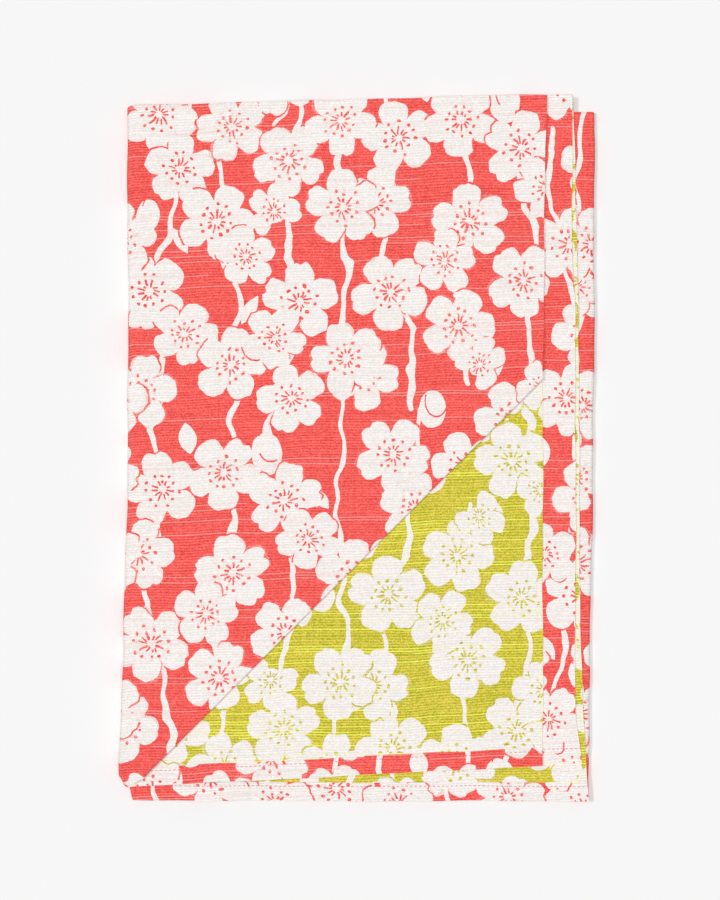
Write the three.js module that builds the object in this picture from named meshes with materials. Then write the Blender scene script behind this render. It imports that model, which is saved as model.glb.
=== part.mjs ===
// A folded furoshiki, one square of printed cotton lying as a flat packet of eight layers.
// The cloth is folded in half at the top, then in quarters like a book, and the lower right
// corner of the top layer is turned under. Millimetres, +Z up, +Y towards the top fold, and
// the origin on the floor under the middle of the packet.
import * as THREE from "three";
import { mergeVertices } from "three/addons/utils/BufferGeometryUtils.js";

// Driving dimensions
const SHEET = 1.0; // thickness of the cloth as built
const PITCH = 1.25; // rise from one layer to the next
const PUFF = 0.09; // how much looser the pile is where it is loosest
const SETTLE = 45; // how far past the turned-under corner the front layer has come down
const CREASE_BULGE = PITCH / 2 + SHEET / 2; // reach of the turned-under crease past flat layers
const CREASE_START = 3; // how far up its crease the corner is wide enough to be built
const TUCK_SLOT = 7; // the turned-under corner's place between the first two layers

// Outlines, each a table with the columns y, x
const OUTER_LEFT_FOLD = [
  [190.3, -128.1],
  [98.6, -127.7],
  [61.9, -127.5],
  [-1.4, -127.8],
  [-39.2, -128.3],
  [-83.6, -129.6],
  [-119.2, -130.6],
  [-162.0, -132.2],
  [-179.2, -132.6],
  [-189.0, -132.0],
];
const INNER_LEFT_FOLD = [
  [190.0, -123.8],
  [26.4, -123.6],
  [-84.7, -125.2],
  [-140.3, -127.2],
  [-179.2, -128.6],
  [-188.1, -128.6],
  [-197.0, -126.2],
];
const RIGHT_FOLD = [
  [188.0, 132.6],
  [65.3, 132.6],
  [12.5, 132.0],
  [-29.2, 131.7],
  [-84.7, 130.6],
  [-140.3, 129.8],
  [-197.0, 129.4],
];
const FRONT_FREE_EDGE = [
  [195.8, 105.5],
  [145.8, 104.5],
  [82.0, 103.7],
  [37.5, 103.4],
  [-177.0, 103.4],
];
const THIRD_FREE_EDGE = [
  [196.4, 119.8],
  [109.7, 119.8],
  [82.0, 121.3],
  [-1.4, 121.7],
  [-101.4, 121.7],
  [-134.7, 121.2],
  [-151.4, 121.8],
  [-175.3, 125.3],
];
const FOURTH_FREE_EDGE = [
  [196.4, 120.1],
  [165.3, 121.5],
  [109.7, 122.6],
  [26.4, 124.0],
  [-29.2, 123.7],
  [-112.5, 124.8],
  [-140.3, 125.6],
  [-182.0, 128.4],
  [-197.0, 129.5],
];

// Top folds and bottom hems, each a table with the columns x, y
const TOP = {
  front: [
    [-128, 190.3],
    [105, 196.6],
  ],
  third: [
    [-128, 189.7],
    [120, 197.0],
  ],
  back: [
    [-128, 188.6],
    [132, 187.5],
  ],
};
const HEM = {
  first: [
    [-128.5, -186.7],
    [-121.6, -186.8],
  ],
  second: [
    [-128.8, -188.9],
    [-97.4, -187.4],
    [95.6, -177.5],
    [103.4, -177.0],
  ],
  third: [
    [-126.1, -182.5],
    [103.4, -176.1],
    [125.3, -175.6],
  ],
  fourth: [
    [-127.7, -196.4],
    [-31.6, -197.0],
    [129.5, -197.0],
  ],
  fifth: [
    [-127.7, -196.4],
    [129.5, -195.8],
  ],
  lower: [
    [-128.5, -187.0],
    [129.5, -193.0],
  ],
};

// The crease of the turned-under corner, from the hem up to the free edge
const CREASE = { x0: -121.6, y0: -187.0, x1: 103.4, y1: 37.5 };

// Panels from the free end of the front layer to the free end of the third and fourth.
// Each holds two layers, a and b, joined by the fold at the top. The slots count up from
// the floor. side is +1 where the outer face of layer a looks up, which is also where the
// cloth runs on to the left.
const PANELS = [
  {
    a: { slot: 8, hem: HEM.first },
    b: { slot: 6, hem: HEM.second },
    top: TOP.front,
    side: 1,
  },
  {
    a: { slot: 0, hem: HEM.lower },
    b: { slot: 1, hem: HEM.lower },
    top: TOP.back,
    side: -1,
  },
  {
    a: { slot: 3, hem: HEM.fifth },
    b: { slot: 2, hem: HEM.lower },
    top: TOP.back,
    side: 1,
  },
  {
    a: { slot: 4, hem: HEM.fourth },
    b: { slot: 5, hem: HEM.third },
    top: TOP.third,
    side: -1,
  },
];

// Folds between the panels. reach is how far each layer bulges past the end of its panel,
// and rise is how much higher its hem sits at the tip of the fold than at the panels.
const FOLDS = [
  { toward: -1, edge: OUTER_LEFT_FOLD, reach: { a: 3.4, b: 2.1 }, rise: { a: 4.6, b: 3.6 } },
  { toward: 1, edge: RIGHT_FOLD, reach: { a: 1.9, b: 0.625 }, rise: { a: 0, b: 0 } },
  { toward: -1, edge: INNER_LEFT_FOLD, reach: { a: 0.625, b: 1.9 }, rise: { a: 0, b: 0 } },
];

// Fineness of the mesh
const ROWS = 12; // along each layer, from its hem to the top fold
const ARC = 6; // around the top fold and the book folds
const COLUMNS = [9, 6, 6, 7]; // across each panel
const TUCK_ROWS = 5; // across the turned-under corner
const CREASE_ARC = 4; // around its crease

const lerp = THREE.MathUtils.lerp;

// The value of a two-column table at a place, carried on past its ends
function read(table, at) {
  const rising = table[0][0] < table[table.length - 1][0];
  const past = table.findIndex(([key]) => (rising ? key >= at : key <= at));
  const i = THREE.MathUtils.clamp(past < 0 ? table.length : past, 1, table.length - 1);
  const [k0, v0] = table[i - 1];
  const [k1, v1] = table[i];
  return lerp(v0, v1, THREE.MathUtils.clamp((at - k0) / (k1 - k0), 0, 1));
}

// How loosely the pile lies at a place, from 0 to 1
function looseness(x, y) {
  const waves = 0.3 * Math.sin(x / 62 + 0.7) * Math.cos(y / 88 - 0.5);
  return 0.45 + waves + 0.2 * Math.sin(y / 131 + x / 190);
}

// Height of the middle of a layer above the floor. The front layer comes down by one slot
// above the turned-under corner, where nothing lies between it and the second layer.
function slotHeight(slot, x, y) {
  const down = slot > TUCK_SLOT ? THREE.MathUtils.smoothstep(y, CREASE.y1, CREASE.y1 + SETTLE) : 0;
  return SHEET / 2 + (slot - down) * PITCH * (1 + PUFF * looseness(x, y));
}

// Where a fold's panels end, short of its tip by the bulge of its outermost layer
function foldStart(fold, y) {
  const widest = Math.max(fold.reach.a, fold.reach.b) + SHEET / 2;
  return read(fold.edge, y) - fold.toward * widest;
}

// Left and right ends of a layer of a panel at a height y
function panelEnds(p, layer, y) {
  const freeEnd = layer === "a" ? FOURTH_FREE_EDGE : THIRD_FREE_EDGE;
  return [
    foldStart(FOLDS[p < 2 ? 0 : 2], y),
    p === 0 ? read(FRONT_FREE_EDGE, y) : p === 3 ? read(freeEnd, y) : foldStart(FOLDS[1], y),
  ];
}

// A point of a layer on a panel, on its outer face for face = 1 and its inner for -1
function onPanel({ p, f }, layer, y, face) {
  const [left, right] = panelEnds(p, layer, y);
  const x = lerp(left, right, f);
  const outward = PANELS[p].side * (layer === "a" ? 1 : -1);
  const z = slotHeight(PANELS[p][layer].slot, x, y) + (face * outward * SHEET) / 2;
  return new THREE.Vector3(x, y, z);
}

// A point of a layer on a book fold, an ellipse from one panel's layer to the next one's
function onFold({ fold, turn }, layer, y, face) {
  const { toward, reach } = FOLDS[fold];
  const start = foldStart(FOLDS[fold], y);
  const from = slotHeight(PANELS[fold][layer].slot, start, y);
  const to = slotHeight(PANELS[fold + 1][layer].slot, start, y);
  const half = (from - to) / 2;
  const sin = Math.sin(turn * Math.PI);
  const cos = Math.cos(turn * Math.PI);
  const across = (toward * sin) / reach[layer];
  const up = cos / half;
  const other = layer === "a" ? "b" : "a";
  const outside = reach[layer] > reach[other] ? 1 : -1;
  const push = (face * outside * SHEET) / 2 / Math.hypot(across, up);
  return new THREE.Vector3(
    start + toward * reach[layer] * sin + across * push,
    y,
    (from + to) / 2 + half * cos + up * push,
  );
}

function onLayer(station, layer, y, face) {
  return station.p === undefined
    ? onFold(station, layer, y, face)
    : onPanel(station, layer, y, face);
}

// Height y at which the front layer stops being flat, short of its crease by the bulge. The
// bulge grows from nothing at the lower end, where nothing is turned under yet.
function creasedHem(x) {
  const { x0, y0, x1, y1 } = CREASE;
  const share = Math.min((x - x0) / CREASE_START, 1);
  return lerp(y0, y1, (x - x0) / (x1 - x0)) + Math.SQRT2 * CREASE_BULGE * share;
}

// The bottom end of a layer at a station
function hemAt(station, layer) {
  if (station.p === undefined) {
    const { fold, turn } = station;
    const { edge, rise } = FOLDS[fold];
    const from = read(PANELS[fold][layer].hem, read(edge, -190));
    const to = read(PANELS[fold + 1][layer].hem, read(edge, -190));
    return lerp(from, to, turn) + rise[layer] * Math.sin(turn * Math.PI);
  }
  const { hem } = PANELS[station.p][layer];
  const creased = station.p === 0 && layer === "a";
  let y = hem[0][1];
  for (let pass = 0; pass < 12; pass++) {
    const { x } = onPanel(station, layer, y, 1);
    y = creased && x > CREASE.x0 ? creasedHem(x) : read(hem, x);
  }
  return y;
}

// The top end of a station, the crown of the fold that joins its two layers
function topAt(station) {
  if (station.p === undefined) {
    const { fold, turn } = station;
    const x = read(FOLDS[fold].edge, 190);
    return lerp(read(PANELS[fold].top, x), read(PANELS[fold + 1].top, x), turn);
  }
  return read(PANELS[station.p].top, onPanel(station, "a", 190, 1).x);
}

// Points from a to b around a half turn that bulges along a direction
function halfTurn(a, b, direction, steps) {
  const middle = a.clone().add(b).multiplyScalar(0.5);
  const half = a.clone().sub(b).multiplyScalar(0.5);
  const points = [];
  for (let i = 1; i < steps; i++) {
    const angle = (i / steps) * Math.PI;
    const out = direction.clone().multiplyScalar(half.length() * Math.sin(angle));
    points.push(middle.clone().addScaledVector(half, Math.cos(angle)).add(out));
  }
  return points;
}

// One line of points from the hem of layer a over the top fold to the hem of layer b
function profile(station, face) {
  const top = topAt(station);
  const a = onLayer(station, "a", top, 1);
  const b = onLayer(station, "b", top, 1);
  const foldStartsAt = top - a.distanceTo(b) / 2;
  const along = (layer, from, to) =>
    Array.from({ length: ROWS + 1 }, (_, i) =>
      onLayer(station, layer, lerp(from, to, i / ROWS), face),
    );
  const front = along("a", hemAt(station, "a"), foldStartsAt);
  const back = along("b", foldStartsAt, hemAt(station, "b"));
  const up = new THREE.Vector3(0, 1, 0);
  return [...front, ...halfTurn(front[ROWS], back[0], up, ARC), ...back];
}

// The turned-under corner at a station, from the crease to its far edge
function tuckProfile(start, face) {
  const points = [];
  for (let i = 0; i <= TUCK_ROWS; i++) {
    const x = lerp(start.x, CREASE.x0, i / TUCK_ROWS);
    const z = slotHeight(TUCK_SLOT, x, start.y) - (face * SHEET) / 2;
    points.push(new THREE.Vector3(x, start.y, z));
  }
  const { x0, y0, x1, y1 } = CREASE;
  const outward = new THREE.Vector3(y1 - y0, x0 - x1, 0).normalize();
  return [...halfTurn(start, points[0], outward, CREASE_ARC), ...points];
}

// The stations along the cloth, those of each panel and then those of the fold after it
function stations() {
  const list = [];
  PANELS.forEach((panel, p) => {
    const [left, right] = panelEnds(p, "a", CREASE.y0);
    const places = p === 0 ? [left, CREASE.x0] : [];
    const from = p === 0 ? CREASE.x0 + CREASE_START : left;
    for (let i = 0; i <= COLUMNS[p]; i++) places.push(lerp(from, right, i / COLUMNS[p]));
    if (panel.side > 0) places.reverse();
    places.forEach((x) => list.push({ p, f: (x - left) / (right - left) }));
    for (let i = 1; p < FOLDS.length && i < ARC; i++) list.push({ fold: p, turn: i / ARC });
  });
  return list;
}

// A sheet given as faces of four vertex numbers, with its edges that no two faces share
// closed by a rim between the outer and the inner points
function thicken(faces, outer, inner) {
  const count = outer.length;
  const positions = [...outer, ...inner].flatMap((point) => point.toArray());
  const open = new Map();
  const index = [];
  const quad = (a, b, c, d) => index.push(a, b, c, a, c, d);
  for (const [a, b, c, d] of faces) {
    quad(a, b, c, d);
    quad(d + count, c + count, b + count, a + count);
    for (const [from, to] of [
      [a, b],
      [b, c],
      [c, d],
      [d, a],
    ]) {
      if (!open.delete(`${to} ${from}`)) open.set(`${from} ${to}`, [from, to]);
    }
  }
  for (const [from, to] of open.values()) quad(to, from, from + count, to + count);
  const geometry = new THREE.BufferGeometry();
  geometry.setAttribute("position", new THREE.Float32BufferAttribute(positions, 3));
  geometry.setIndex(index);
  return geometry;
}

// The whole cloth as one closed solid
function foldedCloth() {
  const outer = [];
  const inner = [];
  const add = (outside, inside) => {
    outer.push(...outside);
    inner.push(...inside);
    return outside.map((_, i) => outer.length - outside.length + i);
  };
  const all = stations();
  const rows = all.map((s) => add(profile(s, 1), profile(s, -1)));
  const tucked = all.map((s, i) => {
    const hem = rows[i][0];
    const turnedUnder = s.p === 0 && outer[hem].x > CREASE.x0 + CREASE_START / 2;
    if (!turnedUnder) return null;
    const turned = add(tuckProfile(outer[hem], 1), tuckProfile(inner[hem], -1));
    return [...turned.reverse(), hem];
  });
  const faces = [];
  const join = (one, next) => {
    for (let j = 1; one && next && j < one.length; j++) {
      faces.push([one[j - 1], one[j], next[j], next[j - 1]]);
    }
  };
  for (let i = 1; i < all.length; i++) {
    join(rows[i - 1], rows[i]);
    join(tucked[i - 1], tucked[i]);
  }
  const geometry = thicken(faces, outer, inner);
  geometry.computeBoundingBox();
  const { min, max } = geometry.boundingBox;
  geometry.translate(-(min.x + max.x) / 2, -(min.y + max.y) / 2, -min.z);
  return mergeVertices(geometry);
}

const printedCotton = new THREE.MeshStandardMaterial({
  color: 0xf0c9bd,
  roughness: 0.9,
  metalness: 0,
});

const group = new THREE.Group();
const cloth = new THREE.Mesh(foldedCloth(), printedCotton);
cloth.name = "folded_cloth";
group.add(cloth);

export default group;
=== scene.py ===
import math

import bpy
import numpy as np
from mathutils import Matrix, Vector


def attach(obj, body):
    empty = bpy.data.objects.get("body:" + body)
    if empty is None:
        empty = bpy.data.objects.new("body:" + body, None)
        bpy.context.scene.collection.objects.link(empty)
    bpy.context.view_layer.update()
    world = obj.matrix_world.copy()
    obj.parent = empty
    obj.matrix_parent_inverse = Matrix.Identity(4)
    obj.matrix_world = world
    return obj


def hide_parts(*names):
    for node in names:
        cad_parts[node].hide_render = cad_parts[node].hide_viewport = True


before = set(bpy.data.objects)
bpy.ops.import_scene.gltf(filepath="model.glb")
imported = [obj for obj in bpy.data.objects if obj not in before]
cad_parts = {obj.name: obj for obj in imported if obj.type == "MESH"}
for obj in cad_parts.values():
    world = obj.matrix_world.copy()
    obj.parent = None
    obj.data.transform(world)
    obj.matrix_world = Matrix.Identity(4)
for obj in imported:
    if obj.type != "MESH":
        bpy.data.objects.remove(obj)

bl_info = {
    "name": "Folded furoshiki",
    "version": (1, 0, 0),
    "blender": (4, 5, 0),
    "location": "View3D > Sidebar > Furoshiki",
    "description": "Lays a printed cotton wrapping cloth on its folds, sews its hems and sets the stage",
    "category": "Add Mesh",
}

# Lengths in the tables are millimetres, in the frame of the packet: X to the free side
# edges, Y to the top fold, Z up from the floor.
MM = 0.001
CLOTH_NODE = "folded_cloth"

# The pile of layers, as in the solid
SOLID_SHEET = 1.0
PITCH = 1.25
PUFF = 0.09
SETTLE = 45.0
TUCK_SLOT = 7
CREASE = {"x0": -121.6, "y0": -187.0, "x1": 103.4, "y1": 37.5}
CREASE_START = 3  # how far from its start the crease reaches its full bulge
FOLD_MARGIN = 0.3  # from the widest bulge of a fold to the cloth's outer face
FOOT, HEAD = -190.0, 190.0  # heights where the ends of the folds' hems and tops are read
FIRST_HEM, HEM_ROUNDS = -187.0, 12  # where the search for a panel's hem starts, and its rounds

# How free edges and the crease sink: over how far across, up from a hem and from the crease
EDGE_SINK, HEM_SINK, CREASE_SINK = 34, 40, (3.0, 40.0)

# How straight a hand leaves an edge, columns height and length of a wave, share of its phase
WANDER = ((0.16, 6.5, 1.0), (0.22, 17, 1.7))
TABLE_ROUNDING = 4

# Steps of the mesh: across each panel and beside a selvedge, around each fold, up a layer, over
# the top fold, and across the turned-under corner and around its crease
PANEL_STEPS = (4.4, 6.0, 8.0, 6.0)
SELVEDGE_STEP = 1
FOLD_STEPS = (10, 8, 8)
UPPER_ROWS = 72
CROWN_STEPS = 8
TUCK_ROWS = 26
CREASE_STEPS = 6
TUCK_START = 1.5  # how far from the start of the crease the turned-under corner begins

# The rows of a layer over its hem: the one under the stitches, and the share of the hem's
# relief at its lip and at its stitches
SEAM_ROW = 5
LIP_SHARE, SEAM_SHARE = 0.3, 0.45
STITCH_LIFT = 0.05
CORNER_SEAM, CORNER_STEPS = 0.075, 12  # share of the front panel with stitches of its own
CORNER_HEIGHT = -180.0  # where the left end of that seam is read
SEAM_END = 0.6  # how far short of the crease its stitches end
HEM_A, HEM_B = 1, 2  # marks of the faces that lie on a hem

# Outlines of folds and free edges, columns y, x
OUTLINES = {
    "outer_left": (
        (190.3, -128.1),
        (98.6, -127.7),
        (61.9, -127.5),
        (-1.4, -127.8),
        (-39.2, -128.3),
        (-83.6, -129.6),
        (-119.2, -130.6),
        (-162.0, -132.2),
        (-179.2, -132.6),
        (-189.0, -132.0),
    ),
    "inner_left": (
        (190.0, -123.8),
        (26.4, -123.6),
        (-84.7, -125.2),
        (-140.3, -127.2),
        (-179.2, -128.6),
        (-188.1, -128.6),
        (-197.0, -126.2),
    ),
    "right": (
        (188.0, 132.6),
        (65.3, 132.6),
        (12.5, 132.0),
        (-29.2, 131.7),
        (-84.7, 130.6),
        (-140.3, 129.8),
        (-197.0, 129.4),
    ),
    "front_free": (
        (195.8, 105.5),
        (145.8, 104.5),
        (82.0, 103.7),
        (37.5, 103.4),
        (-177.0, 103.4),
    ),
    "third_free": (
        (196.4, 119.8),
        (109.7, 119.8),
        (82.0, 121.3),
        (-1.4, 121.7),
        (-101.4, 121.7),
        (-134.7, 121.2),
        (-151.4, 121.8),
        (-175.3, 125.3),
    ),
    "fourth_free": (
        (196.4, 120.1),
        (165.3, 121.5),
        (109.7, 122.6),
        (26.4, 124.0),
        (-29.2, 123.7),
        (-112.5, 124.8),
        (-140.3, 125.6),
        (-182.0, 128.4),
        (-197.0, 129.5),
    ),
}

# Top folds and hems, columns x, y
TOPS = {
    "front": ((-128.0, 190.3), (105.0, 196.6)),
    "third": ((-128.0, 189.7), (120.0, 197.0)),
    "back": ((-128.0, 188.6), (132.0, 187.5)),
}
HEMS = {
    "first": ((-128.5, -186.7), (-121.6, -186.8)),
    "second": ((-128.8, -188.9), (-97.4, -187.4), (95.6, -177.5), (103.4, -177.0)),
    "third": ((-126.1, -182.5), (103.4, -176.1), (125.3, -175.6)),
    "fourth": ((-127.7, -196.4), (-31.6, -197.0), (129.5, -197.0)),
    "fifth": ((-127.7, -196.4), (129.5, -195.8)),
    "lower": ((-128.5, -187.0), (129.5, -193.0)),
}

# Panels from the free end of the front layer on. a and b are the two layers of each, with
# their slots from the floor and their hems. side is +1 where the outer face of a looks up.
PANELS = (
    {"slots": (8, 6), "hems": ("first", "second"), "top": "front", "side": 1},
    {"slots": (0, 1), "hems": ("lower", "lower"), "top": "back", "side": -1},
    {"slots": (3, 2), "hems": ("fifth", "lower"), "top": "back", "side": 1},
    {"slots": (4, 5), "hems": ("fourth", "third"), "top": "third", "side": -1},
)

# Folds between the panels, with the bulge of layers a and b past the panels' ends, and how
# much higher each layer's hem sits at the tip of the fold
FOLDS = (
    {"edge": "outer_left", "toward": -1, "reach": (3.4, 2.1), "rise": (4.6, 3.6)},
    {"edge": "right", "toward": 1, "reach": (1.9, 0.625), "rise": (0.0, 0.0)},
    {"edge": "inner_left", "toward": -1, "reach": (0.625, 1.9), "rise": (0.0, 0.0)},
)

# The print's repeat, a half drop. The chart reads from left to right and downwards on the
# front layer.
REPEAT_WIDE = 130.0
REPEAT_TALL = 384.0
OPEN, SIDE = 0, 1

# Blossoms, columns x, y, radius, turn in degrees, height for width, kind. Later rows lie on
# earlier ones.
BLOSSOMS = (
    (14, 6, 21.5, 12, 1.0, OPEN),
    (26, 36, 20, 58, 1.0, OPEN),
    (8, 104, 22, 32, 1.0, OPEN),
    (28, 128, 19.5, 5, 0.92, OPEN),
    (4, 160, 21, 62, 1.0, OPEN),
    (16, 214, 21, 40, 1.0, OPEN),
    (4, 250, 20.5, 66, 1.0, OPEN),
    (12, 300, 22, 24, 1.0, OPEN),
    (-2, 346, 20, 8, 1.0, OPEN),
    (54, 14, 20, 36, 1.0, OPEN),
    (46, 66, 22, 10, 1.0, OPEN),
    (62, 86, 18.5, 48, 0.88, OPEN),
    (54, 146, 21, 66, 1.0, OPEN),
    (50, 206, 21, 18, 1.0, OPEN),
    (56, 262, 22, 44, 1.0, OPEN),
    (42, 284, 19.5, 60, 0.9, OPEN),
    (50, 320, 21, 5, 1.0, OPEN),
    (62, 342, 17, 130, 0.8, SIDE),
    (86, 34, 21, 22, 1.0, OPEN),
    (78, 62, 17.5, 70, 0.85, SIDE),
    (92, 112, 22, 54, 1.0, OPEN),
    (78, 132, 19, 16, 0.92, OPEN),
    (88, 166, 19.5, 38, 1.0, OPEN),
    (84, 222, 21.5, 64, 1.0, OPEN),
    (98, 244, 19, 26, 0.92, OPEN),
    (86, 296, 21, 12, 1.0, OPEN),
    (80, 372, 21.5, 30, 1.0, OPEN),
    (96, 356, 17, 100, 0.8, SIDE),
    (116, 60, 21.5, 48, 1.0, OPEN),
    (118, 144, 21, 34, 1.0, OPEN),
    (122, 266, 21.5, 56, 1.0, OPEN),
    (114, 12, 20, 14, 1.0, OPEN),
    (114, 290, 17.5, 300, 0.8, SIDE),
    (118, 356, 20.5, 66, 1.0, OPEN),
)

# Buds and leaves, columns x, y, half length, half width, turn in degrees, pointedness
OVALS = (
    (30, 186, 9, 5, 80, 1.0),
    (74, 196, 12, 8.5, 84, 0.0),
    (104, 222, 7, 3.4, 50, 1.0),
    (64, 116, 9, 3.6, 120, 1.0),
    (108, 330, 9.5, 5.5, 96, 0.0),
    (26, 76, 8, 3.2, 60, 1.0),
    (72, 342, 8.5, 3.6, 100, 1.0),
    (36, 366, 10.5, 7.5, 90, 0.0),
    (8, 62, 9, 6.5, 96, 0.0),
)

# Hanging twigs, each its half width and a line of columns x, y
TWIGS = (
    (1.5, ((30, -20), (27, 20), (20, 60), (14, 90), (18, 130), (10, 180), (14, 230))),
    (1.5, ((14, 230), (10, 280), (22, 320), (24, 364))),
    (1.5, ((52, 0), (50, 40), (54, 90), (58, 130), (54, 170), (56, 220))),
    (1.5, ((56, 220), (54, 262), (48, 300), (56, 350))),
    (1.5, ((92, -10), (84, 50), (88, 100), (84, 150), (74, 190))),
    (1.5, ((80, 214), (90, 262), (88, 310), (92, 350), (80, 394))),
    (1.4, ((112, 0), (114, 40), (118, 90), (114, 140), (118, 190), (112, 230))),
    (1.4, ((112, 230), (120, 280), (112, 320), (118, 360), (112, 400))),
)


def linear(hex_colour):
    """A colour given as sRGB hex, as the linear values that a shader takes."""
    parts = [int(hex_colour[i : i + 2], 16) / 255 for i in (0, 2, 4)]
    return tuple(c / 12.92 if c <= 0.04045 else ((c + 0.055) / 1.055) ** 2.4 for c in parts)


def smoothstep(low, high, value):
    """0 below low, 1 above high, and a smooth rise between."""
    t = np.clip((value - low) / (high - low), 0.0, 1.0)
    return t * t * (3 - 2 * t)


def read(table, at):
    """The value of a two-column table at a place, its corners rounded over a few millimetres."""
    rows = sorted(table)
    keys = [row[0] for row in rows]
    values = [row[1] for row in rows]
    at = np.asarray(at, float)
    return sum(np.interp(at + shift, keys, values) for shift in (-TABLE_ROUNDING, 0, TABLE_ROUNDING)) / 3


def edge_line(tables, name, at):
    """A fold, a free edge or a hem, as straight as a hand leaves it."""
    at = np.asarray(at, float)
    phase = sum(map(ord, name))
    wander = sum(height * np.sin(at / length + share * phase) for height, length, share in WANDER)
    return read(tables[name], at) + wander


def looseness(x, y):
    """How loosely the pile lies at a place, from 0 to 1, as in the solid."""
    waves = 0.3 * np.sin(x / 62 + 0.7) * np.cos(y / 88 - 0.5)
    return 0.45 + waves + 0.2 * np.sin(y / 131 + x / 190)


def slot_height(slot, x, y):
    """Height of the middle of a layer above the floor."""
    down = smoothstep(CREASE["y1"], CREASE["y1"] + SETTLE, y) if slot > TUCK_SLOT else 0.0
    return SOLID_SHEET / 2 + (slot - down) * PITCH * (1 + PUFF * looseness(x, y))


def fold_start(fold, y):
    """Where a fold's panels end, short of its tip by its widest bulge."""
    widest = max(fold["reach"]) + FOLD_MARGIN
    return edge_line(OUTLINES, fold["edge"], y) - fold["toward"] * widest


def panel_ends(p, layer, y):
    """Left and right ends of layer 0 (a) or 1 (b) of a panel at heights y."""
    left = fold_start(FOLDS[0 if p < 2 else 2], y)
    if p == 0:
        return left, edge_line(OUTLINES, "front_free", y)
    if p == 3:
        return left, edge_line(OUTLINES, ("fourth_free", "third_free")[layer], y)
    return left, fold_start(FOLDS[1], y)


# How many gaps close up under a layer's free side edge, as it sinks onto the ones below
EDGE_RANK = {4: 1, 5: 2, 6: 3, 7: 3.5, 8: 4}


def near_crease(x, y):
    """1 along the diagonal crease, falling to 0 away from it."""
    run_x, run_y = CREASE["x1"] - CREASE["x0"], CREASE["y1"] - CREASE["y0"]
    away = ((y - CREASE["y0"]) * run_x - (x - CREASE["x0"]) * run_y) / math.hypot(run_x, run_y)
    return 1 - smoothstep(*CREASE_SINK, np.abs(away))


def edge_fall(p, layer, slot, x, y, droop):
    """How far a layer lies below its slot near its free edges and near the crease."""
    if slot not in EDGE_RANK:
        return 0.0
    right = panel_ends(p, layer, y)[1]
    side = smoothstep(right - EDGE_SINK, right, x)
    if slot >= TUCK_SLOT:
        low = near_crease(x, y) * (slot - TUCK_SLOT + 1) / EDGE_RANK[slot]
    else:
        hem = edge_line(HEMS, PANELS[p]["hems"][layer], x)
        low = 1 - smoothstep(hem, hem + HEM_SINK, y)
    return droop * EDGE_RANK[slot] * (1 - (1 - side) * (1 - low))


class Station:
    """A line across the cloth from hem to hem, on a panel (share from left to right) or a fold."""

    def __init__(self, p, share=None, turn=None):
        self.p, self.share, self.turn = p, share, turn

    def point(self, layer, y, face, half, droop):
        """Points of a layer at heights y, half a thickness out on its outer (1) or inner (-1) face."""
        if self.turn is None:
            left, right = panel_ends(self.p, layer, y)
            x = left + (right - left) * self.share
            slot = PANELS[self.p]["slots"][layer]
            outward = PANELS[self.p]["side"] * (1, -1)[layer]
            z = slot_height(slot, x, y) - edge_fall(self.p, layer, slot, x, y, droop)
            return np.stack([x, y, z + face * outward * half], -1)
        fold = FOLDS[self.p]
        start = fold_start(fold, y)
        low = slot_height(PANELS[self.p]["slots"][layer], start, y)
        high = slot_height(PANELS[self.p + 1]["slots"][layer], start, y)
        rise = (low - high) / 2
        sin, cos = math.sin(self.turn * math.pi), math.cos(self.turn * math.pi)
        reach = fold["reach"][layer]
        across = fold["toward"] * sin / reach
        up = cos / rise
        outside = 1 if reach > fold["reach"][1 - layer] else -1
        push = face * outside * half / np.hypot(across, up)
        x = start + fold["toward"] * reach * sin + across * push
        return np.stack([x, y, (low + high) / 2 + rise * cos + up * push], -1)

    def hem(self, layer):
        """Height of the bottom end of a layer."""
        if self.turn is not None:
            fold = FOLDS[self.p]
            tip = edge_line(OUTLINES, fold["edge"], FOOT)
            low = edge_line(HEMS, PANELS[self.p]["hems"][layer], tip)
            high = edge_line(HEMS, PANELS[self.p + 1]["hems"][layer], tip)
            return low + (high - low) * self.turn + fold["rise"][layer] * math.sin(self.turn * math.pi)
        y = FIRST_HEM
        for _ in range(HEM_ROUNDS):
            left, right = panel_ends(self.p, layer, y)
            x = left + (right - left) * self.share
            creased = self.p == 0 and layer == 0 and x > CREASE["x0"]
            y = creased_hem(x) if creased else float(edge_line(HEMS, PANELS[self.p]["hems"][layer], x))
        return y

    def top(self):
        """Height of the crown of the fold that joins the two layers."""
        if self.turn is not None:
            x = edge_line(OUTLINES, FOLDS[self.p]["edge"], HEAD)
            low, high = (float(edge_line(TOPS, PANELS[i]["top"], x)) for i in (self.p, self.p + 1))
            return low + (high - low) * self.turn
        left, right = panel_ends(self.p, 0, HEAD)
        return float(edge_line(TOPS, PANELS[self.p]["top"], left + (right - left) * self.share))


def creased_hem(x):
    """Height at which the front layer stops being flat, just short of its crease."""
    share = (x - CREASE["x0"]) / (CREASE["x1"] - CREASE["x0"])
    bulge = PITCH / 2 + SOLID_SHEET / 2
    y = CREASE["y0"] + (CREASE["y1"] - CREASE["y0"]) * share
    return y + math.sqrt(2) * bulge * min((x - CREASE["x0"]) / CREASE_START, 1)


def half_turn(a, b, direction, steps):
    """Points between a and b around a half turn that bulges along a direction."""
    middle, half = (a + b) / 2, (a - b) / 2
    angles = np.arange(1, steps) / steps * math.pi
    out = np.asarray(direction) * np.linalg.norm(half)
    return middle + np.cos(angles)[:, None] * half + np.sin(angles)[:, None] * out


def even_steps(start, end, step):
    """Places from start to end, both included, about a step apart."""
    return np.linspace(start, end, max(2, round(abs(end - start) / step) + 1))


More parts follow.
